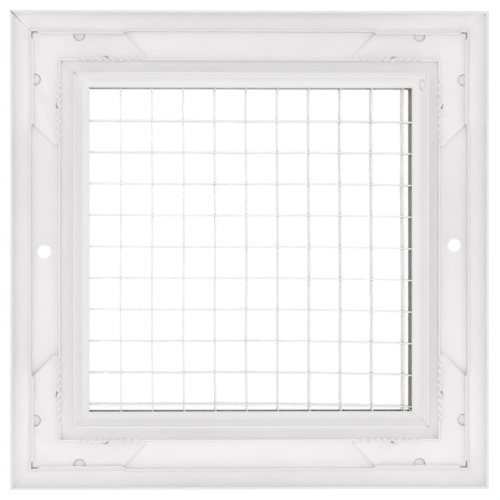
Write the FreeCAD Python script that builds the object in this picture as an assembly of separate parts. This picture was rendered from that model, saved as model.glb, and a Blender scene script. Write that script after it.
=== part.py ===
import FreeCAD, Part
import math
import os

# Return air grille for a 6 in x 6 in duct opening: a mitred aluminium frame with a half-inch egg-crate core.
# It lies face down: z = 0 is the front face, +Z points to the back, into the duct.
# Left, right, top and bottom are as seen from the back. All lengths are in mm.
# In a section, u is the distance inward from the frame's outer edge and z the height above the front face.

# Frame, overall
overall = 196.85
wall = 1.2
roll_radius = 6.5
lip_rise = 0.5
lip_round = 0.35
opening_at = 32.55
neck_at = 26.2
neck_wall = 1.2
neck_top = 23.0
neck_root_round = 5.0
edge_round = 0.3
mitre_gap = 0.12

# Hooks on the back of the flange that hold the corner gussets
outer_hook_from_roll = 1.1
outer_hook_wall = 1.0
inner_hook_at = 19.8
inner_hook_wall = 0.8
hook_height = 3.2
hook_round = 0.25
hook_root = 0.3

# Corner gussets
gusset_thickness = 1.6
gusset_gap = 0.7
gusset_fit = 0.05
gusset_reach = 55.4
gusset_end_cut = 9.2
gusset_corner_round = 0.8
stake_diameter = 4.8
outer_stake_along = 28.3
outer_stake_inset = 0.7
inner_stake_along = 38.9
inner_stake_outset = 1.3

# Where the hooks are pressed over the gussets, measured along a rail from the frame's corner
bend_start = 10.4
bend_run_in = 2.3
bend_run_out = 3.3
bend_lap = 0.45
bend_top_drop = 0.35
bend_steps = 5
tooth_pitch = 3.0
tooth_count = 9
tooth_depth = 0.65
tooth_drop = 0.3
crimp_start = 27.6

# Screw holes in the left and right rails
screw_hole = 5.0
screw_inset = 13.85
left_screw_offset = -0.7
right_screw_offset = 1.9
countersink = 8.0
countersink_angle = 82.0
dimple_wall = 1.0

# Egg-crate core
blade_thickness = 0.5
core_depth = 12.7
column_pitch = 12.82
first_column_from_opening = 12.75
row_pitch = 12.88
first_row_from_opening = 13.0
core_clearance = 0.4
slot_clearance = 0.05

# Core retainers: folded strips between the neck and the back of the core
retainer_sheet = 0.9
retainer_fold_drop = 0.9
retainer_fold_width = 0.2
retainer_fold_round = 0.08
retainer_leg_clearance = 0.8
retainer_foot = 1.7
retainer_knee_across = 0.385
retainer_knee_height = 0.37
retainer_knee_round = 3.5
punch_mark = 4.4
punch_ring = 0.8
punch_depth = 0.25
punch_from_corner = 31.6
punch_down_slope = 0.5

# How far a cutting tool reaches past what it cuts
spare_cut = 1.0

half = overall / 2.0
lip_height = roll_radius + lip_rise
outer_hook_at = roll_radius + outer_hook_from_roll
neck_inner = neck_at + neck_wall
hook_top = wall + hook_height
gusset_top = wall + gusset_thickness
outer_hook_inner = outer_hook_at + outer_hook_wall
gusset_outer = outer_hook_inner + gusset_gap
gusset_inner = inner_hook_at - gusset_fit
core_back = wall + core_depth
opening_half = half - opening_at

SIDE_ANGLE = {"top": 0.0, "left": 90.0, "bottom": 180.0, "right": 270.0}
CORNER_ANGLE = {"top_left": 0.0, "bottom_left": 90.0, "bottom_right": 180.0, "top_right": 270.0}

# A crimp tooth's plan: share of the pitch, and share of the tooth's depth there
TOOTH_WAVE = ((0.0, 0.0), (0.3, 1.0), (0.6, 1.0), (0.85, 0.0))
FLAT_LIMIT = 1e-6


def vec(x, y, z):
    return FreeCAD.Vector(x, y, z)


def section_point(u, z, along):
    """A point of the top rail's section: u inward from the outer edge, z up, along the rail."""
    return vec(along, half - u, z)


def rounded_wire(points, radii):
    """A closed wire through the points, with a tangent arc wherever a radius is given."""
    count = len(points)
    starts = []
    ends = []
    edges = []
    for index in range(count):
        here = points[index]
        radius = radii[index]
        if radius <= 0:
            starts.append(here)
            ends.append(here)
            continue
        to_last = (points[index - 1] - here).normalize()
        to_next = (points[(index + 1) % count] - here).normalize()
        half_turn = to_last.getAngle(to_next) / 2.0
        reach = radius / math.tan(half_turn)
        starts.append(here + to_last * reach)
        ends.append(here + to_next * reach)
    for index in range(count):
        here = points[index]
        radius = radii[index]
        if radius > 0:
            inward = (starts[index] + ends[index]) * 0.5 - here
            half_turn = (starts[index] - here).getAngle(ends[index] - here) / 2.0
            middle = here + inward.normalize() * (radius / math.sin(half_turn) - radius)
            edges.append(Part.Arc(starts[index], middle, ends[index]).toShape())
        edges.append(Part.makeLine(ends[index], starts[(index + 1) % count]))
    return Part.Wire(edges)


def rail_section(corners, along):
    """A section wire of the top rail from (u, z, radius) corners."""
    points = [section_point(u, z, along) for u, z, radius in corners]
    radii = [radius for u, z, radius in corners]
    return rounded_wire(points, radii)


def run_along_rail(corners, start, end):
    """The section drawn out along the top rail."""
    face = Part.Face(rail_section(corners, start))
    return face.extrude(vec(end - start, 0, 0))


def mitre_wedge():
    """The quarter of the plan that belongs to the top rail, a hair short of both mitre lines."""
    reach = overall
    rise = mitre_gap / 2.0 * math.sqrt(2.0)
    low = -spare_cut
    corners = [vec(0, rise, low), vec(reach, reach + rise, low), vec(-reach, reach + rise, low)]
    face = Part.Face(Part.makePolygon(corners + corners[:1]))
    return face.extrude(vec(0, 0, neck_top + 2 * spare_cut))


def turned(shape, angle):
    """The shape turned about the frame's centre."""
    copy = shape.copy()
    copy.rotate(vec(0, 0, 0), vec(0, 0, 1), angle)
    return copy


def frame_body():
    """The extrusion without its hooks: rolled lip, flat flange, neck and front lip."""
    corners = [
        (0, lip_height, lip_round),
        (0, 0, roll_radius),
        (opening_at, 0, edge_round),
        (opening_at, wall, edge_round),
        (neck_inner, wall, 0),
        (neck_inner, neck_top, edge_round),
        (neck_at, neck_top, edge_round),
        (neck_at, wall, neck_root_round),
        (wall, wall, roll_radius - wall),
        (wall, lip_height, lip_round),
    ]
    return run_along_rail(corners, -half, half)


def flat_facets(first, second):
    """Flat faces between two outlines of as many points: one where four points share a plane, else two."""
    faces = []
    count = len(first)
    for index in range(count):
        after = (index + 1) % count
        ring = [first[index], first[after], second[after], second[index]]
        across = (ring[1] - ring[0]).cross(ring[3] - ring[0])
        twist = abs(across.dot(ring[2] - ring[0]))
        if twist < FLAT_LIMIT * across.Length:
            faces.append(Part.Face(Part.makePolygon(ring + ring[:1])))
            continue
        faces.append(Part.Face(Part.makePolygon([ring[0], ring[1], ring[2], ring[0]])))
        faces.append(Part.Face(Part.makePolygon([ring[0], ring[2], ring[3], ring[0]])))
    return faces


def faceted_solid(outlines):
    """A solid through outlines of as many points, with flat facets between them and flat ends."""
    faces = []
    for first, second in zip(outlines, outlines[1:]):
        faces += flat_facets(first, second)
    for end in (outlines[0], outlines[-1]):
        faces.append(Part.Face(Part.makePolygon(end + end[:1])))
    shell = Part.makeShell(faces)
    shell.sewShape()
    solid = Part.makeSolid(shell)
    if solid.Volume < 0:
        solid.reverse()
    return solid


def eased_stations(start, length, first, second):
    """Sections along an S-curve from the first outline to the second."""
    stations = []
    for step in range(bend_steps + 1):
        share = step / bend_steps
        eased = (1.0 - math.cos(math.pi * share)) / 2.0
        shape = [(a[0] + (b[0] - a[0]) * eased, a[1] + (b[1] - a[1]) * eased) for a, b in zip(first, second)]
        stations.append((start + length * share, shape))
    return stations


def outer_hook():
    """The outer hook: upright, and bent inward over the gussets near both ends."""
    root = wall - hook_root
    lap = gusset_outer + bend_lap
    press_top = hook_top - bend_top_drop
    tip_top = press_top - bend_top_drop
    upright = [
        (outer_hook_at, root),
        (outer_hook_at, gusset_top),
        (outer_hook_at, hook_top - hook_round),
        (outer_hook_at + hook_round, hook_top),
        (outer_hook_inner - hook_round, hook_top),
        (outer_hook_inner, hook_top - hook_round),
        (outer_hook_inner, (hook_top + gusset_top) / 2.0),
        (outer_hook_inner, gusset_top),
        (outer_hook_inner, root),
    ]
    bent = [
        (outer_hook_at, root),
        (outer_hook_at + bend_lap / 2.0, gusset_top),
        (lap - outer_hook_wall - hook_round, press_top - hook_round),
        (lap - outer_hook_wall + hook_round, press_top),
        (lap - hook_round, tip_top),
        (lap, tip_top - hook_round),
        (lap, gusset_top),
        (gusset_outer - gusset_fit, gusset_top),
        (outer_hook_inner, root),
    ]
    bend_end = gusset_reach - gusset_end_cut - bend_run_out / 3.0
    stations = [(0, upright)]
    stations += eased_stations(bend_start, bend_run_in, upright, bent)
    stations += eased_stations(bend_end, bend_run_out, bent, upright)
    outlines = [[section_point(u, z, along - half) for u, z in shape] for along, shape in stations]
    outlines += [[section_point(u, z, half - along) for u, z in shape] for along, shape in stations[::-1]]
    return faceted_solid(outlines)


def tooth_outline(start, z, depth):
    """The crimped hook's outline at one height, waving towards the gusset by the given depth."""
    near = []
    far = []
    for tooth in range(tooth_count):
        for share, push in TOOTH_WAVE:
            along = start + (tooth + share) * tooth_pitch
            near.append(section_point(inner_hook_at - depth * push, z, along))
            far.append(section_point(inner_hook_at + inner_hook_wall - depth * push, z, along))
    end = start + tooth_count * tooth_pitch
    near.append(section_point(inner_hook_at, z, end))
    far.append(section_point(inner_hook_at + inner_hook_wall, z, end))
    return near + far[::-1]


def crimped_hook(start):
    """A stretch of inner hook pressed over the gusset by a toothed wheel."""
    bottom = tooth_outline(start, gusset_top, 0.0)
    top = tooth_outline(start, hook_top - tooth_drop, tooth_depth)
    return faceted_solid([bottom, top])


def inner_hook():
    """The inner hook: plain, and crimped in teeth along each gusset."""
    inner_face = inner_hook_at + inner_hook_wall
    base = [
        (inner_hook_at, wall - hook_root, 0),
        (inner_hook_at, gusset_top, 0),
        (inner_face, gusset_top, 0),
        (inner_face, wall - hook_root, 0),
    ]
    plain = [
        (inner_hook_at, wall - hook_root, 0),
        (inner_hook_at, hook_top, hook_round),
        (inner_face, hook_top, hook_round),
        (inner_face, wall - hook_root, 0),
    ]
    crimp_end = crimp_start + tooth_count * tooth_pitch
    pieces = [
        run_along_rail(plain, -half, crimp_start - half),
        run_along_rail(base, crimp_start - half, crimp_end - half),
        crimped_hook(crimp_start - half),
        run_along_rail(plain, crimp_end - half, half - crimp_end),
        run_along_rail(base, half - crimp_end, half - crimp_start),
        crimped_hook(half - crimp_end),
        run_along_rail(plain, half - crimp_start, half),
    ]
    return pieces[0].multiFuse(pieces[1:])


def with_screw_hole(rail, along):
    """The rail with a dimpled, countersunk screw hole."""
    centre = section_point(screw_inset, 0, along)
    up = vec(0, 0, 1)
    half_angle = math.radians(countersink_angle / 2.0)
    sink_depth = (countersink - screw_hole) / 2.0 / math.tan(half_angle)
    spread = dimple_wall / math.cos(half_angle) + sink_depth * math.tan(half_angle)
    dimple_top = sink_depth + dimple_wall / 2.0
    top_radius = screw_hole / 2.0 + dimple_wall / 2.0
    bottom_radius = screw_hole / 2.0 + spread
    dimple = Part.makeCone(bottom_radius, top_radius, dimple_top - wall / 2.0, centre + up * (wall / 2.0), up)
    sink = Part.makeCone(countersink / 2.0, screw_hole / 2.0, sink_depth, centre, up)
    hole = Part.makeCylinder(screw_hole / 2.0, neck_top, centre, up)
    return rail.fuse(dimple).cut(sink).cut(hole)


def frame_rail():
    """One side of the frame, cut to its mitres, as the top rail."""
    whole = frame_body().multiFuse([outer_hook(), inner_hook()])
    return whole.common(mitre_wedge()).removeSplitter()


def corner_gusset():
    """The flat L-shaped plate in the top left corner, its leg ends cut at 45 degrees."""
    near = gusset_outer
    far = gusset_inner
    cut_at = near + gusset_end_cut
    short = gusset_reach - gusset_end_cut
    plan = [
        (near, near, gusset_corner_round),
        (short, near, 0),
        (gusset_reach, cut_at, 0),
        (gusset_reach, far, 0),
        (far, far, 0),
        (far, gusset_reach, 0),
        (cut_at, gusset_reach, 0),
        (near, short, 0),
    ]
    points = [vec(across - half, half - down, wall) for across, down, radius in plan]
    outline = rounded_wire(points, [radius for across, down, radius in plan])
    plate = Part.Face(outline).extrude(vec(0, 0, gusset_thickness))
    outer_row = gusset_outer + outer_stake_inset
    inner_row = inner_hook_at + inner_stake_outset
    centres = [
        (outer_stake_along, outer_row),
        (outer_row, outer_stake_along),
        (inner_stake_along, inner_row),
        (inner_row, inner_stake_along),
    ]
    for across, down in centres:
        foot = vec(across - half, half - down, 0)
        plate = plate.cut(Part.makeCylinder(stake_diameter / 2.0, hook_top, foot))
    return plate


def retainer_slope():
    """The folded strip's outer line, as (u, z): fold, knee and foot."""
    fold = (neck_inner + retainer_fold_width, neck_top - retainer_fold_drop)
    foot = (opening_at, core_back + retainer_foot)
    knee_u = fold[0] + (foot[0] - fold[0]) * retainer_knee_across
    knee_z = foot[1] + (fold[1] - foot[1]) * retainer_knee_height
    return fold, (knee_u, knee_z), foot


def retainer_section():
    """Corners of the folded strip: a leg flat on the neck, a fold, and a leg bent at a knee to the core."""
    fold, knee, foot = retainer_slope()
    steep = (fold[1] - knee[1]) / (knee[0] - fold[0])
    shallow = (knee[1] - foot[1]) / (foot[0] - knee[0])
    steep_drop = retainer_sheet * math.sqrt(1.0 + steep * steep)
    shallow_drop = retainer_sheet * math.sqrt(1.0 + shallow * shallow)
    inner_knee_u = knee[0] - (steep_drop - shallow_drop) / (steep - shallow)
    inner_knee_z = knee[1] + (knee[0] - inner_knee_u) * shallow - shallow_drop
    leg_inner = neck_inner + retainer_sheet
    leg_end = core_back + retainer_leg_clearance
    crotch = fold[1] - (leg_inner - fold[0]) * steep - steep_drop
    foot_inner = opening_at - retainer_sheet
    foot_under = foot[1] + retainer_sheet * shallow - shallow_drop
    return [
        (neck_inner, leg_end, 0),
        (neck_inner, fold[1], retainer_fold_round),
        (fold[0], fold[1], retainer_fold_round),
        (knee[0], knee[1], retainer_knee_round),
        (foot[0], foot[1], 0),
        (opening_at, core_back, 0),
        (foot_inner, core_back, 0),
        (foot_inner, foot_under, 0),
        (inner_knee_u, inner_knee_z, 0),
        (leg_inner, crotch, 0),
        (leg_inner, leg_end, 0),
    ]


def core_retainer():
    """One retainer strip, cut to its mitres, as the top one."""
    return run_along_rail(retainer_section(), -half, half).common(mitre_wedge()).removeSplitter()


def with_punch_mark(strip):
    """The strip with a shallow round punch mark on its sloping leg, near its left end as the top one."""
    fold, knee, foot = retainer_slope()
    run = knee[0] - fold[0]
    rise = fold[1] - knee[1]
    u = fold[0] + run * punch_down_slope
    z = fold[1] - rise * punch_down_slope
    centre = section_point(u, z, punch_from_corner - half)
    outward = vec(0, -rise, run).normalize()
    start = centre - outward * punch_depth
    ring = Part.makeCylinder(punch_mark / 2.0, spare_cut, start, outward)
    core = Part.makeCylinder(punch_mark / 2.0 - punch_ring, spare_cut, start, outward)
    return strip.cut(ring.cut(core))


def blade(length, crossings, slot_from_back):
    """A core blade along X at y = 0, with a half-depth slot at each crossing blade."""
    middle = wall + core_depth / 2.0
    slot_half = blade_thickness / 2.0 + slot_clearance
    level = core_back if slot_from_back else wall
    plan = [(-length / 2.0, level)]
    for at in crossings:
        plan += [(at - slot_half, level), (at - slot_half, middle)]
        plan += [(at + slot_half, middle), (at + slot_half, level)]
    plan += [(length / 2.0, level)]
    other = wall if slot_from_back else core_back
    plan += [(length / 2.0, other), (-length / 2.0, other)]
    points = [vec(x, -blade_thickness / 2.0, z) for x, z in plan]
    face = Part.Face(Part.makePolygon(points + points[:1]))
    return face.extrude(vec(0, blade_thickness, 0))


def build_core(nodes):
    """The egg-crate core: slotted blades both ways, resting on the front lip."""
    column_count = math.floor((2.0 * opening_half - first_column_from_opening) / column_pitch) + 1
    row_count = math.floor((2.0 * opening_half - first_row_from_opening) / row_pitch) + 1
    columns = [first_column_from_opening - opening_half + column_pitch * i for i in range(column_count)]
    rows = [opening_half - first_row_from_opening - row_pitch * i for i in range(row_count)]
    length = 2.0 * (half - neck_inner - core_clearance)
    upright = blade(length, rows[::-1], True)
    upright.rotate(vec(0, 0, 0), vec(0, 0, 1), 90)
    level = blade(length, columns, False)
    for index, x in enumerate(columns):
        piece = upright.copy()
        piece.translate(vec(x, 0, 0))
        nodes["blade_vertical_%02d" % (index + 1)] = piece
    for index, y in enumerate(rows):
        piece = level.copy()
        piece.translate(vec(0, y, 0))
        nodes["blade_horizontal_%02d" % (index + 1)] = piece


def build():
    """Every piece by node name."""
    nodes = {}
    rail = frame_rail()
    strip = core_retainer()
    gusset = corner_gusset()
    for side, angle in SIDE_ANGLE.items():
        side_rail = rail
        side_strip = strip
        if side == "left":
            side_rail = with_screw_hole(rail, left_screw_offset)
        if side == "right":
            side_rail = with_screw_hole(rail, -right_screw_offset)
            side_strip = with_punch_mark(strip)
        nodes["frame_rail_" + side] = turned(side_rail, angle)
        nodes["core_retainer_" + side] = turned(side_strip, angle)
    for corner, angle in CORNER_ANGLE.items():
        nodes["corner_gusset_" + corner] = turned(gusset, angle)
    build_core(nodes)
    return nodes


os.makedirs("parts", exist_ok=True)
for name, shape in build().items():
    shape.exportStep(os.path.join("parts", name + ".step"))
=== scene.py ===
import bmesh
import bpy
import math
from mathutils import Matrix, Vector


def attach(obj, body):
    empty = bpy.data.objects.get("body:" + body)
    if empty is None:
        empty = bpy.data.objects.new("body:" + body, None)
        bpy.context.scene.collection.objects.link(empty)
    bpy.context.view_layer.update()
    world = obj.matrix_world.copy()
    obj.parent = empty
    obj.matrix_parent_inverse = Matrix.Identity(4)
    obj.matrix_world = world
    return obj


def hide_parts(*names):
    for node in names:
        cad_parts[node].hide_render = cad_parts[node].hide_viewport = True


# The return air grille as the photograph shows it: its back, white powder coat on every part.
# It lies face down, z = 0 at its front face. Lengths are in mm until they reach a mesh.
# In a section, u is the distance inward from the frame's outer edge and z the height above the front face.

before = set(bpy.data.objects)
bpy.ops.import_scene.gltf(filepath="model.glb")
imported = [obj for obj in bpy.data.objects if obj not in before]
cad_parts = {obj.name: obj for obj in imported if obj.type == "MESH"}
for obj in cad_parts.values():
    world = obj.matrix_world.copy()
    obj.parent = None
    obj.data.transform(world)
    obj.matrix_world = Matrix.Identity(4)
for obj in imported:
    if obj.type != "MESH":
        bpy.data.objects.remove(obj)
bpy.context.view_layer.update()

MM = 0.001

# Frame
overall = 196.85
half = overall / 2.0
wall = 1.2
roll_radius = 6.5
lip_height = 7.0
lip_round = 0.35
opening_at = 32.55
neck_at = 26.2
neck_wall = 1.2
neck_inner = neck_at + neck_wall
neck_top = 23.0
edge_round = 0.3
neck_top_round = 0.56
neck_root_round = 5.0
mitre_gap = 0.02
rail_soft = 0.08
top_opening_shift = 0.35
right_lip_shift = -0.25
left_lip_shift = 0.2
lip_reach = 0.6

# The seam that gapes at the top left outer corner
open_seam = 0.4
seam_skin = 0.2
seam_rise = 1.0
seam_length = 14.0
seam_from_corner = 12.0

# Hooks
outer_hook_at = 7.6
outer_hook_wall = 1.0
outer_hook_inner = outer_hook_at + outer_hook_wall
inner_hook_at = 19.8
inner_hook_wall = 0.8
inner_hook_inner = inner_hook_at + inner_hook_wall
hook_height = 3.2
hook_top = wall + hook_height
hook_round = 0.38
hook_root = 0.3
hook_foot = wall - hook_root
hook_face_margin = 0.02

# Gussets
gusset_thickness = 1.6
gusset_top = wall + gusset_thickness
gusset_gap = 0.7
gusset_outer = outer_hook_inner + gusset_gap
gusset_edge = gusset_outer - 0.3
gusset_inner = inner_hook_at - 0.05
gusset_reach = 55.4
gusset_end_cut = 9.2
gusset_corner_round = 0.8
gusset_cut_round = 0.3
gusset_tip_round = 0.2
gusset_soft = 0.16
stake_diameter = 4.8
outer_stake_along = 28.3
outer_stake_row = gusset_outer + 0.7
inner_stake_along = 38.9
inner_stake_row = inner_hook_at + 1.2
lug_diameter = 4.52
lug_top = gusset_top - 0.9
lug_edge = outer_hook_inner + 0.03
lug_soft = 0.3

# Heights at which the hooks' two sides are divided, so that their heads can bend
outer_hook_low = gusset_top - 0.6
outer_hook_high = gusset_top + 0.3
outer_hook_inner_low = gusset_top - 0.05
outer_hook_inner_high = gusset_top + 0.35
inner_hook_low = gusset_top + 0.02
inner_hook_high = hook_top - 0.7
inner_hook_inner_low = hook_top - 1.5
inner_hook_inner_high = hook_top - 0.8

# Wear at the corners: a nick in the flange, and pits where the necks meet
nick_at = 7.75
nick_radius = 0.4
nick_length = 3.4
nick_middle = wall + 1.0
pit_radius = 0.55
pit_depth = 2.0
pit_inset = neck_wall * 0.45

# Pressed stretches of the hooks, measured along a rail from the frame's corner
bend_start = 10.8
bend_run_in = 1.5
bend_run_out = 3.3
bend_end = gusset_reach - gusset_end_cut - bend_run_out / 3.0
bend_reach = 1.15
bend_top_drop = 0.5
bend_inner_share = 1.25
bend_outer_share = 0.75
bend_root = 0.75
bend_lift_share = 0.95
bend_ripple = 0.05
bend_ripple_rate = 2.1
bend_steps = 10
pressed_steps = 13
tooth_pitch = 3.0
tooth_count = 9
tooth_depth = 0.8
tooth_drop = 0.35
tooth_valley_share = 1.3
tooth_gusset_share = 0.9
tooth_spread = 0.6
tooth_root = 0.05
tooth_grip = 1.5
tooth_lag = 0.06
tooth_half_width = 0.46
tooth_flank = 0.24
tooth_steps = 12
crimp_start = 27.6
crimp_end = crimp_start + tooth_count * tooth_pitch
crimp_fade = 0.8

# Screw holes
screw_hole = 5.0
screw_inset = 13.85
left_screw_offset = -0.7
right_screw_offset = 1.9
countersink = 8.0
countersink_depth = 1.73
sink_past = 1.0
sink_widening = 0.87
dimple_height = 2.23
dimple_foot_radius = 5.0
dimple_top_radius = 3.05
dimple_soft = 0.35
bar_sides = 48
cone_sides = 64
drill_length = 10

# Core
blade_count = 10
blade_thickness = 0.6
blade_soft = 0.18
blade_end_clearance = 1.2
blade_length = 2.0 * (half - neck_inner - blade_end_clearance)
core_depth = 12.7
core_back = wall + core_depth
core_middle = wall + core_depth / 2.0
opening_half = half - opening_at
column_pitch = 12.82
row_pitch = 12.88
first_column = 12.75
first_row = 13.0
columns = [first_column - opening_half + column_pitch * i for i in range(blade_count)]
rows = [opening_half - first_row - row_pitch * i for i in range(blade_count)]
slot_clearance = 0.05
slot_margin = 2.0

# How the blades drift, spread, lean, fan, bow and wave over the core, with x and y from its middle
lattice_points = 25
lattice_middle = 12
lattice_steps = 24.0
lattice_cells = 12.0
lattice_rise = 1.0
drift_x = 0.2
drift_y = -0.12
spread_x = 0.0027
spread_y = 0.0011
lean_x = math.radians(0.125)
lean_y = math.radians(0.395)
fan_x = -2.2e-5
fan_y = 4.5e-5
bow_x = 1.4e-5
bow_y = -5.9e-5
wave_x = 0.12
wave_x_by_x = 0.022
wave_x_by_y = 0.061
wave_x_phase = 1.0
wave_y = 0.13
wave_y_by_x = 0.055
wave_y_by_y = 0.018
wave_y_phase = 0.4
end_dip = 0.25
end_dip_from = 63.0
scatter = 0.1
scatter_between = 0.35
scatter_front = 0.7

# Core retainers
fold_top = neck_top - 0.9
fold_width = 0.2
fold_u = neck_inner + fold_width
fold_round = 0.12
foot_top = core_back + 1.7
foot_round = 0.3
foot_wall = 1.2
foot_sheet = 0.5
foot_reach = 1.3
leg_wall = 0.25
leg_end = core_back + 0.8
crotch_drop = 2.0
slope_knee_u = neck_inner + 2.15
slope_knee_z = core_back + 4.4
knee_ease = 1.4
knee_sheet_ease = knee_ease * 0.8
knee_sheet_u = 0.5
knee_sheet_z = 1.2
retainer_soft = 0.12
burr_along = 34.0
burr_height = core_back + 1.2
burr_radius = 0.95
burr_wire = 0.17
punch_radius = 1.95
punch_ring = 0.42
punch_sink = 0.22
punch_along = 31.3
punch_down = 0.57

# Painted shade on the tops of the neck, the rolled lip and the outer hook, each from its start to its full
# share: heights, and distances from the frame's middle
painted_shade_share = 0.24
shaded_neck_top = (neck_top - 1.1, neck_top - 0.3)
shaded_lip_top = (lip_height - 0.7, lip_height - 0.2)
shaded_hook_top = (gusset_top + 0.4, gusset_top + 0.9)
lip_zone = (half - wall - 0.4, half - wall)
hook_zone_start = (half - 12.5, half - 11.5)
hook_zone_end = (half - 6.0, half - 5.0)

# The light and the dark tone of each coat's film
frame_tones = ((0.880, 0.866, 0.873), (0.848, 0.832, 0.840))
gusset_tones = ((0.838, 0.824, 0.831), (0.812, 0.797, 0.804))
retainer_tones = ((0.895, 0.892, 0.880), (0.868, 0.864, 0.850))
core_tones = ((0.835, 0.835, 0.832), (0.812, 0.812, 0.808))
core_specular = 0.9
# The tone multiplied into the frame's coat as painted shade on those tops
painted_shade_tone = (0.6, 0.6, 0.6)

# Floor, light and camera, in metres
floor_size = 6.0
floor_drop = 0.0002
camera_place = (-0.0493, 0.0, 1.307)
camera_tilt = -0.03785
camera_lens = 228.05
sky_strength = 0.79

SIDE_TURN = {"top": 0, "left": 1, "bottom": 2, "right": 3}
CORNER_TURN = {"top_left": 0, "bottom_left": 1, "bottom_right": 2, "top_right": 3}
SMOOTH = math.radians(40)

# How near two places count as one, and the shortest step drawn along a rail
same_point = 0.001
same_plane = 0.002
shortest_step = 0.01


# Work on one mesh at a time, as by hand

def activate(piece):
    """Only this piece selected, and active."""
    bpy.ops.object.select_all(action="DESELECT")
    piece.select_set(True)
    bpy.context.view_layer.objects.active = piece


def edit(piece):
    activate(piece)
    bpy.ops.object.mode_set(mode="EDIT")


def leave_edit():
    bpy.ops.object.mode_set(mode="OBJECT")


def select_points(wanted):
    """In edit mode, the vertices whose place in mm answers to wanted."""
    mesh = bmesh.from_edit_mesh(bpy.context.edit_object.data)
    bpy.ops.mesh.select_mode(type="VERT")
    bpy.ops.mesh.select_all(action="DESELECT")
    for vert in mesh.verts:
        vert.select = bool(wanted(vert.co / MM))
    mesh.select_flush_mode()
    bmesh.update_edit_mesh(bpy.context.edit_object.data)


def move(offset):
    bpy.ops.transform.translate(value=Vector(offset) * MM)


def extrude(offset):
    bpy.ops.mesh.extrude_region_move(TRANSFORM_OT_translate={"value": Vector(offset) * MM})


def extrude_all(offset):
    bpy.ops.mesh.select_all(action="SELECT")
    extrude(offset)


def reshape(piece, moved):
    """In edit mode, every vertex put where moved says, in mm."""
    mesh = bmesh.from_edit_mesh(piece.data)
    for vert in mesh.verts:
        vert.co = moved(vert.co / MM) * MM
    bmesh.update_edit_mesh(piece.data)


def cut_off(place, away):
    """In edit mode, cuts off what lies beyond a plane and closes the cut. The place is in mm."""
    bpy.ops.mesh.select_all(action="SELECT")
    bpy.ops.mesh.bisect(plane_co=Vector(place) * MM, plane_no=away, use_fill=True, clear_outer=True)


def close_mesh():
    """Turns the faces outward and leaves edit mode."""
    bpy.ops.mesh.select_all(action="SELECT")
    bpy.ops.mesh.normals_make_consistent(inside=False)
    leave_edit()


def start_point(name, place):
    """A new mesh of one vertex, in edit mode: a plane merged to its middle."""
    bpy.ops.object.select_all(action="DESELECT")
    bpy.ops.mesh.primitive_plane_add(size=MM, location=Vector(place) * MM)
    piece = bpy.context.object
    piece.name = name
    bpy.ops.object.transform_apply(location=True)
    bpy.ops.object.mode_set(mode="EDIT")
    bpy.ops.mesh.select_all(action="SELECT")
    bpy.ops.mesh.merge(type="CENTER")
    return piece


def draw_outline(name, corners):
    """A flat face drawn corner by corner, left in edit mode. A corner is a place, a rounding and its steps."""
    piece = start_point(name, corners[0][0])
    places = [Vector(place) for place, rounding, steps in corners]
    for last, here in zip(places, places[1:]):
        extrude(here - last)
    first = places[0]
    end = places[-1]
    select_points(lambda co: (co - first).length < same_point or (co - end).length < same_point)
    bpy.ops.mesh.edge_face_add()
    bpy.ops.mesh.select_all(action="SELECT")
    bpy.ops.mesh.edge_face_add()
    for place, rounding, steps in corners:
        if rounding > 0:
            spot = Vector(place)
            select_points(lambda co: (co - spot).length < same_point)
            bpy.ops.mesh.bevel(offset=rounding * MM, segments=steps, affect="VERTICES")
    return piece


def on_section(u, z, along):
    """A place on the top rail's section."""
    return (along, half - u, z)


def draw_section(name, corners, along):
    """The top rail's section drawn from (u, z, rounding, steps) corners, left in edit mode."""
    placed = [(on_section(u, z, along), rounding, steps) for u, z, rounding, steps in corners]
    return draw_outline(name, placed)


def draw_along(stops):
    """Draws the section out along the whole rail, by the stops to its middle and the same ones mirrored."""
    mirrored = [overall - stop for stop in stops[::-1]]
    place = 0.0
    for stop in stops + mirrored[1:] + [overall]:
        if stop - place < shortest_step:
            continue
        edge = place - half
        select_points(lambda co: abs(co.x - edge) < same_plane)
        extrude((stop - place, 0, 0))
        place = stop


def cut_mitres():
    """Trims the top side's piece to the two mitre lines, a hair short of them, and closes its ends."""
    hair = mitre_gap / 2.0 * math.sqrt(2.0)
    for side in (-1, 1):
        cut_off((0, hair, 0), (side, -1, 0))


def apply(piece, kind, **settings):
    """Adds a modifier and applies it."""
    activate(piece)
    modifier = piece.modifiers.new(kind.title(), kind)
    for key, value in settings.items():
        setattr(modifier, key, value)
    bpy.ops.object.modifier_apply(modifier=modifier.name)


def soften(piece, width, steps=2, angle=35):
    """Rounds every edge sharper than the angle by a hair, as the coat does."""
    apply(piece, "BEVEL", width=width * MM, segments=steps, limit_method="ANGLE",
          angle_limit=math.radians(angle), use_clamp_overlap=True, harden_normals=False)


def smooth(piece):
    activate(piece)
    bpy.ops.object.shade_smooth_by_angle(angle=SMOOTH)


def join(pieces, name):
    """The pieces as one object."""
    bpy.ops.object.select_all(action="DESELECT")
    for piece in pieces:
        piece.select_set(True)
    bpy.context.view_layer.objects.active = pieces[0]
    bpy.ops.object.join()
    pieces[0].name = name
    return pieces[0]


def copy_of(piece, name):
    """A copy with its own mesh."""
    twin = piece.copy()
    twin.data = piece.data.copy()
    twin.name = name
    bpy.context.scene.collection.objects.link(twin)
    return twin


def quarter_turns(piece, turns):
    """Turned about the frame's centre, with the turn in the mesh."""
    if turns:
        activate(piece)
        piece.rotation_euler = (0, 0, turns * math.pi / 2.0)
        bpy.ops.object.transform_apply(location=True, rotation=True, scale=True)
    return piece


def put_away(piece):
    bpy.data.objects.remove(piece, do_unlink=True)


def cut_with(piece, tool):
    apply(piece, "BOOLEAN", operation="DIFFERENCE", solver="EXACT", object=tool)
    put_away(tool)


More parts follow.
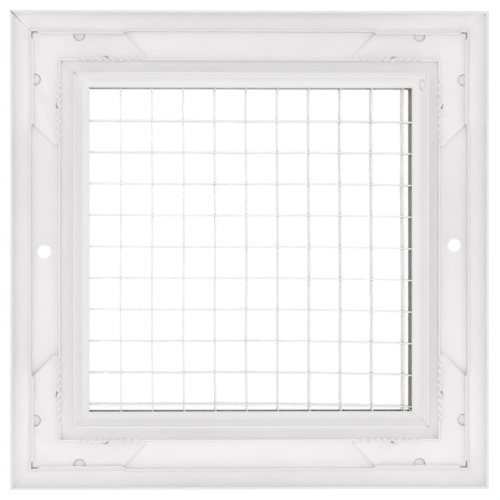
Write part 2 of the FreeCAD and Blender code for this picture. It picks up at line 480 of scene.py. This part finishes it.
def round_bar(place, radius, length):
    """An upright bar, with its place in its mesh."""
    bpy.ops.object.select_all(action="DESELECT")
    bpy.ops.mesh.primitive_cylinder_add(vertices=bar_sides, radius=radius * MM, depth=length * MM,
                                        location=Vector(place) * MM)
    bar = bpy.context.object
    bpy.ops.object.transform_apply(location=True)
    return bar


def cone(place, foot_radius, top_radius, length):
    """An upright cone without its tip, with its place in its mesh."""
    bpy.ops.object.select_all(action="DESELECT")
    bpy.ops.mesh.primitive_cone_add(vertices=cone_sides, radius1=foot_radius * MM, radius2=top_radius * MM,
                                    depth=length * MM, location=Vector(place) * MM)
    piece = bpy.context.object
    bpy.ops.object.transform_apply(location=True)
    return piece


def ring(place, radius, wire, sides, wire_sides, tilt=0.0):
    """A ring of round wire, tilted about X, with its place in its mesh."""
    bpy.ops.object.select_all(action="DESELECT")
    bpy.ops.mesh.primitive_torus_add(major_radius=radius * MM, minor_radius=wire * MM,
                                     major_segments=sides, minor_segments=wire_sides,
                                     location=Vector(place) * MM, rotation=(tilt, 0, 0))
    piece = bpy.context.object
    bpy.ops.object.transform_apply(location=True, rotation=True)
    return piece


def ease(share):
    """0 to 1 along an S-curve."""
    share = max(0.0, min(1.0, share))
    return (1.0 - math.cos(math.pi * share)) / 2.0


def jitter(index, spread):
    """An even scatter that is the same on every run."""
    return (math.sin(index * 12.9898 + 4.137) * 43758.5453 % 1.0 - 0.5) * 2.0 * spread


# Frame rails

def rail_body():
    """Rolled lip, flange and neck of the top rail."""
    corners = [
        (0, lip_height, lip_round, 3),
        (0, 0, roll_radius, 14),
        (opening_at, 0, edge_round, 2),
        (opening_at, wall, edge_round, 2),
        (neck_inner, wall, 0, 0),
        (neck_inner, neck_top, neck_top_round, 4),
        (neck_at, neck_top, neck_top_round, 4),
        (neck_at, wall, neck_root_round, 8),
        (wall, wall, roll_radius - wall, 14),
        (wall, lip_height, lip_round, 3),
    ]
    piece = draw_section("rail_body", corners, -half)
    extrude_all((overall, 0, 0))
    cut_mitres()
    close_mesh()
    return piece


def open_outer_seam(piece):
    """Opens the mitre at the right end of a rail as the top one: a groove that widens to the outer corner."""
    corners = [
        (seam_skin, lip_height + seam_rise, 0, 0),
        (seam_skin, seam_skin, roll_radius - seam_skin, 14),
        (outer_hook_at, seam_skin, 0, 0),
        (outer_hook_at, lip_height + seam_rise, 0, 0),
    ]
    wedge = draw_section("seam_wedge", corners, half - seam_from_corner)
    extrude_all((seam_length, 0, 0))
    gape = math.atan(open_seam / outer_hook_at / math.sqrt(2.0))
    pivot = (half - outer_hook_at) * MM
    bpy.ops.mesh.select_all(action="SELECT")
    bpy.ops.mesh.bisect(plane_co=(pivot, pivot, 0), use_fill=True, clear_inner=True,
                        plane_no=(math.cos(math.pi / 4.0 - gape), -math.sin(math.pi / 4.0 - gape), 0))
    close_mesh()
    cut_with(piece, wedge)


def shift_opening(piece, reach, shift):
    """Moves the inner edge of a piece, drawn as the top one, a little outward."""
    edit(piece)
    select_points(lambda co: half - co.y > opening_at - reach)
    move((0, shift, 0))
    leave_edit()


def follow_top_opening(piece, reach, end):
    """Moves the inner corner at one end of a side piece along with the top piece's inner edge."""
    edit(piece)
    select_points(lambda co: half - co.y > opening_at - reach and co.x * end > 0)
    move((end * top_opening_shift, 0, 0))
    leave_edit()


def outer_press(along):
    """How far the outer hook is bent over, 0 to 1, at a distance from the rail's nearer end."""
    return ease((along - bend_start) / bend_run_in) - ease((along - bend_end) / bend_run_out)


def bent_over(spot):
    """Where a point of the upright outer hook goes as the hook is bent over the gussets."""
    along = half - abs(spot.x)
    press = outer_press(along)
    lift = max(0.0, spot.z - (gusset_top - bend_root)) / (hook_top - gusset_top + bend_root)
    ripple = 1.0 + bend_ripple * math.sin(along * bend_ripple_rate) * press
    on_inner_face = half - spot.y > outer_hook_inner - hook_face_margin
    drop_share = bend_inner_share if on_inner_face else bend_outer_share
    spot.y -= press * bend_reach * ease(lift * bend_lift_share) * ripple
    spot.z -= press * bend_top_drop * lift * drop_share
    return spot


def outer_hook():
    """The outer hook: drawn out in steps, with its head bent over along the gussets."""
    corners = [
        (outer_hook_at, hook_foot, 0, 0),
        (outer_hook_at, outer_hook_low, 0, 0),
        (outer_hook_at, outer_hook_high, 0, 0),
        (outer_hook_at, hook_top, hook_round, 3),
        (outer_hook_inner, hook_top, hook_round, 3),
        (outer_hook_inner, outer_hook_inner_high, 0, 0),
        (outer_hook_inner, outer_hook_inner_low, 0, 0),
        (outer_hook_inner, hook_foot, 0, 0),
    ]
    piece = draw_section("outer_hook", corners, -half)
    stops = {outer_hook_at * 0.5, bend_start, half}
    for step in range(1, bend_steps + 1):
        stops.add(bend_start + bend_run_in * step / bend_steps)
        stops.add(bend_end + bend_run_out * step / bend_steps)
    for step in range(pressed_steps + 1):
        stops.add(bend_start + bend_run_in + (bend_end - bend_start - bend_run_in) * step / pressed_steps)
    draw_along(sorted(stops))
    reshape(piece, bent_over)
    cut_mitres()
    close_mesh()
    return piece


def tooth_wave(along, lag):
    """How far the toothed wheel has pressed the inner hook, 0 to 1."""
    if not crimp_start < along < crimp_end:
        return 0.0
    phase = ((along - crimp_start) / tooth_pitch - lag) % 1.0
    ends = min(1.0, (along - crimp_start) / crimp_fade, (crimp_end - along) / crimp_fade)
    return ends * ease((tooth_half_width - abs(phase - 0.5)) / tooth_flank)


def crimped(spot):
    """Where a point of the upright inner hook goes as its head is pressed in teeth over the gussets."""
    along = half - abs(spot.x)
    lift = max(0.0, spot.z - gusset_top - tooth_root) / (hook_top - gusset_top)
    valley_side = half - spot.y > inner_hook_at + inner_hook_wall / 2.0
    press = tooth_wave(along, 0.0 if valley_side else tooth_lag)
    spread = tooth_wave(along, 0.5) if valley_side else 0.0
    drop_share = tooth_valley_share if valley_side else tooth_gusset_share
    spot.y += press * tooth_depth * min(1.0, lift * tooth_grip)
    spot.y -= spread * tooth_spread * min(1.0, lift * tooth_grip)
    spot.z -= press * tooth_drop * lift * drop_share
    spot.z -= spread * tooth_drop * lift
    return spot


def inner_hook():
    """The inner hook: drawn out in steps, pressed in teeth along each gusset."""
    corners = [
        (inner_hook_at, hook_foot, 0, 0),
        (inner_hook_at, inner_hook_low, 0, 0),
        (inner_hook_at, inner_hook_high, 0, 0),
        (inner_hook_at, hook_top, hook_round, 3),
        (inner_hook_inner, hook_top, hook_round, 3),
        (inner_hook_inner, inner_hook_inner_high, 0, 0),
        (inner_hook_inner, inner_hook_inner_low, 0, 0),
        (inner_hook_inner, hook_foot, 0, 0),
    ]
    piece = draw_section("inner_hook", corners, -half)
    stops = [crimp_start * 0.5, crimp_start * 0.75]
    for step in range(tooth_count * tooth_steps + 1):
        stops.append(crimp_start + tooth_pitch * step / tooth_steps)
    draw_along(stops + [(crimp_end + half) / 2.0, half])
    reshape(piece, crimped)
    cut_mitres()
    close_mesh()
    return piece


def nick(piece, end):
    """A small nick in the flange at the corner of the outer hooks."""
    at = half - nick_at
    cut_with(piece, round_bar((end * at, at, nick_middle), nick_radius, nick_length))


def pit(piece, end):
    """A small pit in the mitre where the backs of two necks meet."""
    at = half - neck_at - pit_inset
    cut_with(piece, round_bar((end * at, at, neck_top), pit_radius, pit_depth * 2.0))


def drill(piece, along):
    """A pressed dimple and a countersunk hole through the flange."""
    x, y, z = on_section(screw_inset, 0, along)
    rise = dimple_height - wall / 2.0
    dimple = cone((x, y, wall / 2.0 + rise / 2.0), dimple_foot_radius, dimple_top_radius, rise)
    soften(dimple, dimple_soft, 3, 20)
    apply(piece, "BOOLEAN", operation="UNION", solver="EXACT", object=dimple)
    put_away(dimple)
    cut_with(piece, round_bar((x, y, 0), screw_hole / 2.0, drill_length))
    sink = cone((x, y, (countersink_depth - sink_past) / 2.0), countersink / 2.0 + sink_widening,
                screw_hole / 2.0, countersink_depth + sink_past)
    cut_with(piece, sink)


def make_rails():
    """The four rails by side, each drawn as the top one and turned to its place."""
    body = rail_body()
    outer = outer_hook()
    inner = inner_hook()
    rails = {}
    for side, turns in SIDE_TURN.items():
        base = copy_of(body, "body_" + side)
        parts = [base, copy_of(outer, "outer_" + side), copy_of(inner, "inner_" + side)]
        if side == "top":
            nick(base, -1)
            pit(base, -1)
            shift_opening(base, lip_reach, top_opening_shift)
        if side == "left":
            nick(base, 1)
            pit(base, 1)
            shift_opening(base, lip_reach, left_lip_shift)
            follow_top_opening(base, lip_reach, 1)
            open_outer_seam(base)
            drill(base, left_screw_offset)
        if side == "bottom":
            pit(base, -1)
        if side == "right":
            pit(base, 1)
            shift_opening(base, lip_reach, right_lip_shift)
            follow_top_opening(base, lip_reach, -1)
            drill(base, -right_screw_offset)
        for part in parts:
            soften(part, rail_soft, 2, 40)
        rail = join(parts, "rail_" + side)
        quarter_turns(rail, turns)
        smooth(rail)
        rails[side] = rail
    for piece in (body, outer, inner):
        put_away(piece)
    return rails


# Corner gussets

def gusset_plate():
    """The top left gusset's plate with its staking holes."""
    near = gusset_edge
    far = gusset_inner
    cut_at = near + gusset_end_cut
    short = gusset_reach - gusset_end_cut
    plan = [
        (near, near, gusset_corner_round, 4),
        (short, near, gusset_cut_round, 2),
        (gusset_reach, cut_at, gusset_cut_round, 2),
        (gusset_reach, far, gusset_tip_round, 2),
        (far, far, gusset_cut_round, 2),
        (far, gusset_reach, gusset_tip_round, 2),
        (cut_at, gusset_reach, gusset_cut_round, 2),
        (near, short, gusset_cut_round, 2),
    ]
    corners = []
    for across, down, rounding, steps in plan:
        corners.append(((across - half, half - down, wall), rounding, steps))
    plate = draw_outline("gusset", corners)
    extrude_all((0, 0, gusset_top - wall))
    close_mesh()
    for along, row in ((outer_stake_along, outer_stake_row), (inner_stake_along, inner_stake_row)):
        for across, down in ((along, row), (row, along)):
            cut_with(plate, round_bar((across - half, half - down, wall), stake_diameter / 2.0, drill_length))
    soften(plate, gusset_soft)
    return plate


def gusset_lug(across, down, edge, away):
    """A staked lug in one of the outer holes, flattened on the outer hook's side."""
    place = (across - half, half - down, (wall + lug_top) / 2.0)
    lug = round_bar(place, lug_diameter / 2.0, lug_top - wall)
    edit(lug)
    cut_off(edge, away)
    close_mesh()
    soften(lug, lug_soft, 3)
    return lug


def make_gussets():
    """The four gussets by corner, each made as the top left one and turned to its place."""
    plate = gusset_plate()
    top_lug = gusset_lug(outer_stake_along, outer_stake_row, (0, half - lug_edge, 0), (0, 1, 0))
    left_lug = gusset_lug(outer_stake_row, outer_stake_along, (lug_edge - half, 0, 0), (-1, 0, 0))
    join([plate, top_lug, left_lug], "gusset")
    gussets = {}
    for corner, turns in CORNER_TURN.items():
        gusset = quarter_turns(copy_of(plate, "gusset_" + corner), turns)
        smooth(gusset)
        gussets[corner] = gusset
    put_away(plate)
    return gussets


# Core retainers

def add_burr(piece):
    """A curled burr left on the foot of the bottom strip, near its mitre; drawn as the top strip's."""
    place = on_section(opening_at, burr_height, burr_along - half)
    curl = ring(place, burr_radius, burr_wire, 32, 8)
    edit(curl)
    cut_off((0, place[1] + burr_wire, 0), (0, 1, 0))
    close_mesh()
    join([piece, curl], piece.name)


def add_punch_mark(piece):
    """A round punch mark on the steep leg, drawn as the top strip's."""
    run = slope_knee_u - neck_inner - fold_width
    steep = math.atan((fold_top - slope_knee_z) / run)
    u = fold_u + run * punch_down - punch_sink * math.sin(steep)
    z = fold_top - (fold_top - slope_knee_z) * punch_down - punch_sink * math.cos(steep)
    place = on_section(u, z, punch_along - half)
    cut_with(piece, ring(place, punch_radius, punch_ring, 48, 12, steep))


def retainer_strip():
    """The top strip: a leg flat on the neck, a fold, and a leg bent at a knee to the core."""
    corners = [
        (neck_inner, leg_end, 0, 0),
        (neck_inner, fold_top, 0, 0),
        (fold_u, fold_top, fold_round, 3),
        (slope_knee_u, slope_knee_z, knee_ease, 8),
        (opening_at, foot_top, foot_round, 3),
        (opening_at, core_back, 0, 0),
        (opening_at - foot_wall, core_back, 0, 0),
        (opening_at - foot_wall, foot_top - foot_sheet, 0, 0),
        (slope_knee_u - knee_sheet_u, slope_knee_z - knee_sheet_z, knee_sheet_ease, 6),
        (neck_inner + leg_wall, fold_top - crotch_drop, 0, 0),
        (neck_inner + leg_wall, leg_end, 0, 0),
    ]
    strip = draw_section("retainer", corners, -half)
    extrude_all((overall, 0, 0))
    close_mesh()
    soften(strip, retainer_soft)
    edit(strip)
    cut_mitres()
    close_mesh()
    return strip


def make_retainers():
    """The four strips by side, each drawn as the top one and turned to its place."""
    strip = retainer_strip()
    strips = {}
    for side, turns in SIDE_TURN.items():
        piece = copy_of(strip, "retainer_" + side)
        if side == "top":
            shift_opening(piece, foot_reach, top_opening_shift)
        if side == "left":
            follow_top_opening(piece, foot_reach, 1)
        if side == "right":
            add_punch_mark(piece)
            follow_top_opening(piece, foot_reach, -1)
        if side == "bottom":
            add_burr(piece)
        quarter_turns(piece, turns)
        smooth(piece)
        strips[side] = piece
    put_away(strip)
    return strips


# Egg-crate core

def blade_blank(name, crossings, slot_from_back):
    """A straight slotted blade along X at y = 0, cut across beside its slots and between them so it can bend."""
    slot_half = blade_thickness / 2.0 + slot_clearance
    level = core_back if slot_from_back else wall
    other = wall if slot_from_back else core_back
    outline = [(-blade_length / 2.0, level)]
    for at in crossings:
        outline += [(at - slot_half, level), (at - slot_half, core_middle)]
        outline += [(at + slot_half, core_middle), (at + slot_half, level)]
    outline += [(blade_length / 2.0, level), (blade_length / 2.0, other), (-blade_length / 2.0, other)]
    piece = draw_outline(name, [((x, -blade_thickness / 2.0, z), 0, 0) for x, z in outline])
    extrude_all((0, blade_thickness, 0))
    for at, after in zip(crossings, list(crossings[1:]) + [crossings[-1] + row_pitch]):
        for cut in (at - slot_half, at + slot_half, (at + after) / 2.0, at - slot_margin, at + slot_margin):
            bpy.ops.mesh.select_all(action="SELECT")
            bpy.ops.mesh.bisect(plane_co=(cut * MM, 0, 0), plane_no=(1, 0, 0))
    close_mesh()
    soften(piece, blade_soft)
    return piece


def blade_shift(x, y, number, share):
    """How far the blades are out of place at a lattice point, in mm, with a share of the scatter."""
    shift_x = drift_x + x * spread_x - y * math.tan(lean_x) + x * y * fan_x + y * y * bow_x
    shift_y = drift_y + y * spread_y - x * math.tan(lean_y) + x * y * fan_y + x * x * bow_y
    shift_x += wave_x * math.sin(y * wave_x_by_y + x * wave_x_by_x + wave_x_phase)
    shift_y += wave_y * math.sin(x * wave_y_by_x - y * wave_y_by_y + wave_y_phase)
    shift_x += jitter(number * 2 + 1, scatter) * share
    shift_y += jitter(number * 2 + 2, scatter) * share
    if x > end_dip_from:
        shift_y -= end_dip
    return shift_x, shift_y


def core_lattice():
    """A lattice with a point at every crossing and half way between, that warps all the blades alike."""
    width = column_pitch * lattice_cells
    height = row_pitch * lattice_cells
    middle = ((columns[0] + columns[-1]) / 2.0, (rows[0] + rows[-1]) / 2.0, core_middle)
    bpy.ops.object.select_all(action="DESELECT")
    bpy.ops.object.add(type="LATTICE", location=Vector(middle) * MM)
    cage = bpy.context.object
    cage.scale = Vector((width, height, core_depth + lattice_rise)) * MM
    cage.data.points_u = lattice_points
    cage.data.points_v = lattice_points
    cage.data.points_w = 2
    for axis in ("interpolation_type_u", "interpolation_type_v", "interpolation_type_w"):
        setattr(cage.data, axis, "KEY_CARDINAL")
    for number, point in enumerate(cage.data.points):
        column = number % lattice_points
        row = number // lattice_points % lattice_points
        layer = number // lattice_points ** 2
        x = (column - lattice_middle) / lattice_steps * column_pitch * lattice_cells
        y = (row - lattice_middle) / lattice_steps * row_pitch * lattice_cells
        at_crossing = 1.0 if column % 2 and row % 2 else scatter_between
        deep = 1.0 if layer else scatter_front
        shift_x, shift_y = blade_shift(x, y, number, at_crossing * deep)
        point.co_deform = point.co + Vector((shift_x / width, shift_y / height, 0))
    return cage


def make_core():
    """The twenty blades by kind and number, bent together by one lattice."""
    upright = blade_blank("upright_blank", rows[::-1], True)
    activate(upright)
    upright.rotation_euler = (0, 0, math.pi / 2.0)
    bpy.ops.object.transform_apply(rotation=True)
    level = blade_blank("level_blank", columns, False)
    cage = core_lattice()
    blades = {}
    for blank, kind, places in ((upright, "vertical", columns), (level, "horizontal", rows)):
        for index, place in enumerate(places):
            name = "%s_%02d" % (kind, index + 1)
            piece = copy_of(blank, "blade_" + name + "_bent")
            activate(piece)
            piece.location = (place * MM, 0, 0) if kind == "vertical" else (0, place * MM, 0)
            bpy.ops.object.transform_apply(location=True)
            apply(piece, "LATTICE", object=cage)
            smooth(piece)
            blades[name] = piece
    for piece in (upright, level, cage):
        put_away(piece)
    return blades


# Finishes

def new_material(name):
    material = bpy.data.materials.new(name)
    material.use_nodes = True
    return material, material.node_tree.nodes, material.node_tree.links


def noise(nodes, links, place, scale, detail, roughness=0.5):
    """A noise on the piece's own coordinates."""
    texture = nodes.new("ShaderNodeTexNoise")
    texture.inputs["Scale"].default_value = scale
    texture.inputs["Detail"].default_value = detail
    texture.inputs["Roughness"].default_value = roughness
    links.new(place, texture.inputs["Vector"])
    return texture.outputs["Fac"]


def between(nodes, links, fac, low, high, from_low=0.35, from_high=0.65):
    """A value's range, by default a noise's middle range, spread over low to high."""
    spread = nodes.new("ShaderNodeMapRange")
    spread.inputs["From Min"].default_value = from_low
    spread.inputs["From Max"].default_value = from_high
    spread.inputs["To Min"].default_value = low
    spread.inputs["To Max"].default_value = high
    links.new(fac, spread.inputs["Value"])
    return spread.outputs["Result"]


def over_zone(nodes, links, value, zone, low, high):
    """A length read as low before a zone in mm, as high after it, and evenly between."""
    return between(nodes, links, value, low, high, zone[0] * MM, zone[1] * MM)


def combine(nodes, links, operation, first, second):
    """Two values joined by a Math node."""
    math_node = nodes.new("ShaderNodeMath")
    math_node.operation = operation
    links.new(first, math_node.inputs[0])
    links.new(second, math_node.inputs[1])
    return math_node.outputs["Value"]


def paint_top_shade(nodes, links, place, tone):
    """The tone with painted shade: greyer on the tops of the neck, the rolled lip and the outer hook."""
    spot = nodes.new("ShaderNodeSeparateXYZ")
    links.new(place, spot.inputs["Vector"])
    sides = []
    for axis in ("X", "Y"):
        across = nodes.new("ShaderNodeMath")
        across.operation = "ABSOLUTE"
        links.new(spot.outputs[axis], across.inputs[0])
        sides.append(across.outputs["Value"])
    outward = combine(nodes, links, "MAXIMUM", sides[0], sides[1])
    height = spot.outputs["Z"]
    on_neck = over_zone(nodes, links, height, shaded_neck_top, 0.0, painted_shade_share)
    outmost = over_zone(nodes, links, outward, lip_zone, 0.0, 1.0)
    on_lip = over_zone(nodes, links, height, shaded_lip_top, 0.0, painted_shade_share)
    on_lip = combine(nodes, links, "MULTIPLY", on_lip, outmost)
    hook_start = over_zone(nodes, links, outward, hook_zone_start, 0.0, 1.0)
    hook_end = over_zone(nodes, links, outward, hook_zone_end, 1.0, 0.0)
    on_hook = over_zone(nodes, links, height, shaded_hook_top, 0.0, painted_shade_share)
    at_hook = combine(nodes, links, "MULTIPLY", hook_start, hook_end)
    on_hook = combine(nodes, links, "MULTIPLY", on_hook, at_hook)
    shade_amount = combine(nodes, links, "MAXIMUM", on_lip, on_hook)
    shade_amount = combine(nodes, links, "MAXIMUM", on_neck, shade_amount)
    greyer = nodes.new("ShaderNodeMix")
    greyer.data_type = "RGBA"
    greyer.blend_type = "MULTIPLY"
    greyer.inputs["B"].default_value = (*painted_shade_tone, 1.0)
    links.new(shade_amount, greyer.inputs["Factor"])
    links.new(tone, greyer.inputs["A"])
    return greyer.outputs["Result"]


def powder_coat(name, tones, roughness, peel, shade_tops=False):
    """Satin powder coat: cloudy film, fine grain and a soft orange peel, with painted shade on the tops when
    asked.
    """
    material, nodes, links = new_material(name)
    shader = nodes["Principled BSDF"]
    place = nodes.new("ShaderNodeTexCoord").outputs["Object"]
    light, dark = tones

    clouds = noise(nodes, links, place, scale=28.0, detail=4.0, roughness=0.55)
    grain = noise(nodes, links, place, scale=1400.0, detail=3.0, roughness=0.6)
    film = nodes.new("ShaderNodeMix")
    film.data_type = "RGBA"
    film.inputs["A"].default_value = (*dark, 1.0)
    film.inputs["B"].default_value = (*light, 1.0)
    links.new(between(nodes, links, clouds, low=0.25, high=1.0), film.inputs["Factor"])
    speckle = nodes.new("ShaderNodeMix")
    speckle.data_type = "RGBA"
    speckle.inputs["B"].default_value = (*dark, 1.0)
    specks = between(nodes, links, grain, low=0.0, high=0.55, from_low=0.62, from_high=0.72)
    links.new(specks, speckle.inputs["Factor"])
    links.new(film.outputs["Result"], speckle.inputs["A"])
    tone = speckle.outputs["Result"]
    # Painted shade: the tops of the neck, the lip and the outer hook drawn greyer
    if shade_tops:
        tone = paint_top_shade(nodes, links, place, tone)
    links.new(tone, shader.inputs["Base Color"])

    sheen = noise(nodes, links, place, scale=90.0, detail=2.0)
    sheen = between(nodes, links, sheen, low=roughness - 0.05, high=roughness + 0.06)
    links.new(sheen, shader.inputs["Roughness"])

    waves = noise(nodes, links, place, scale=520.0, detail=2.0, roughness=0.45)
    fine = noise(nodes, links, place, scale=2600.0, detail=2.0, roughness=0.5)
    height = nodes.new("ShaderNodeMath")
    height.operation = "MULTIPLY_ADD"
    height.inputs[1].default_value = 0.22
    links.new(fine, height.inputs[0])
    links.new(waves, height.inputs[2])
    bump = nodes.new("ShaderNodeBump")
    bump.inputs["Strength"].default_value = peel
    bump.inputs["Distance"].default_value = 0.00009
    links.new(height.outputs["Value"], bump.inputs["Height"])
    links.new(bump.outputs["Normal"], shader.inputs["Normal"])
    shader.inputs["Specular IOR Level"].default_value = 0.45
    return material


def floor_finish():
    """Matt white floor: pure white to the camera, with a faint shadow left in it."""
    material, nodes, links = new_material("floor_white")
    shader = nodes["Principled BSDF"]
    shader.inputs["Base Color"].default_value = (0.96, 0.96, 0.96, 1.0)
    shader.inputs["Roughness"].default_value = 0.9
    output = nodes["Material Output"]
    shade = nodes.new("ShaderNodeBsdfDiffuse")
    shade.inputs["Color"].default_value = (0.13, 0.13, 0.13, 1.0)
    glow = nodes.new("ShaderNodeEmission")
    glow.inputs["Strength"].default_value = 0.95
    seen = nodes.new("ShaderNodeAddShader")
    links.new(shade.outputs["BSDF"], seen.inputs[0])
    links.new(glow.outputs["Emission"], seen.inputs[1])
    path = nodes.new("ShaderNodeLightPath")
    looks = path.outputs["Is Camera Ray"]
    for ray in ("Is Glossy Ray", "Is Transmission Ray"):
        looks = combine(nodes, links, "MAXIMUM", looks, path.outputs[ray])
    choice = nodes.new("ShaderNodeMixShader")
    links.new(looks, choice.inputs["Fac"])
    links.new(shader.outputs["BSDF"], choice.inputs[1])
    links.new(seen.outputs["Shader"], choice.inputs[2])
    links.new(choice.outputs["Shader"], output.inputs["Surface"])
    return material


def coat(piece, material):
    piece.data.materials.clear()
    piece.data.materials.append(material)


# Floor, light and camera

def make_floor():
    bpy.ops.object.select_all(action="DESELECT")
    bpy.ops.mesh.primitive_plane_add(size=floor_size, location=(0, 0, -floor_drop))
    floor = bpy.context.object
    floor.name = "floor"
    bpy.ops.object.transform_apply(location=True)
    coat(floor, floor_finish())


def lamp(name, place, size, power):
    """A square softbox that faces the grille's middle."""
    light = bpy.data.lights.new(name, "AREA")
    light.shape = "SQUARE"
    light.size = size
    light.energy = power
    holder = bpy.data.objects.new(name, light)
    holder.location = place
    holder.rotation_euler = (Vector((0, 0, 0)) - Vector(place)).to_track_quat("-Z", "Y").to_euler()
    bpy.context.scene.collection.objects.link(holder)


def make_light():
    world = bpy.data.worlds.new("studio")
    world.use_nodes = True
    background = world.node_tree.nodes["Background"]
    background.inputs["Color"].default_value = (1.0, 1.0, 1.0, 1.0)
    background.inputs["Strength"].default_value = sky_strength
    bpy.context.scene.world = world
    lamp("softbox_left", place=(-1.25, 0.0, 0.85), size=1.1, power=0.3)
    lamp("softbox_right", place=(1.25, 0.0, 0.85), size=1.1, power=0.6)
    lamp("softbox_top", place=(0.0, 1.25, 0.85), size=1.1, power=0.3)
    lamp("softbox_bottom", place=(0.0, -1.05, 0.75), size=1.0, power=2.0)
    lamp("softbox_above", place=(-0.05, 0.0, 1.7), size=0.8, power=3.4)
    lamp("softbox_near", place=(-0.2, 0.15, 1.4), size=0.25, power=1.2)


def make_camera():
    """The photo's camera: nearly straight above, a little to the left and tilted back to the grille."""
    camera = bpy.data.cameras.new("photo_camera")
    camera.sensor_width = 36.0
    camera.lens = camera_lens
    holder = bpy.data.objects.new("photo_camera", camera)
    holder.location = camera_place
    holder.rotation_euler = (0.0, camera_tilt, 0.0)
    bpy.context.scene.collection.objects.link(holder)
    bpy.context.scene.camera = holder


def settle(piece, node, material):
    """Gives a piece its coat and puts it in its node's place."""
    coat(piece, material)
    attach(piece, "root")
    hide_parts(node)


def dress():
    """Every piece made, coated and put in its node's place."""
    # The frame's coat carries painted shade on the tops of its neck, lip and outer hook
    frame_white = powder_coat("frame_powder_coat", frame_tones, roughness=0.40, peel=0.5, shade_tops=True)
    gusset_white = powder_coat("gusset_powder_coat", gusset_tones, roughness=0.42, peel=0.45)
    retainer_white = powder_coat("retainer_powder_coat", retainer_tones, roughness=0.38, peel=0.5)
    core_white = powder_coat("core_powder_coat", core_tones, roughness=0.09, peel=0.05)
    core_white.node_tree.nodes["Principled BSDF"].inputs["Specular IOR Level"].default_value = core_specular

    for side, piece in make_rails().items():
        settle(piece, "frame_rail_" + side, frame_white)
    for corner, piece in make_gussets().items():
        settle(piece, "corner_gusset_" + corner, gusset_white)
    for side, piece in make_retainers().items():
        settle(piece, "core_retainer_" + side, retainer_white)
    for name, piece in make_core().items():
        settle(piece, "blade_" + name, core_white)

    for name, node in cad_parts.items():
        if name.startswith("frame_rail"):
            coat(node, frame_white)
        elif name.startswith("corner_gusset"):
            coat(node, gusset_white)
        elif name.startswith("core_retainer"):
            coat(node, retainer_white)
        else:
            coat(node, core_white)


dress()
make_floor()
make_light()
make_camera()
bpy.context.scene.view_settings.view_transform = "Standard"
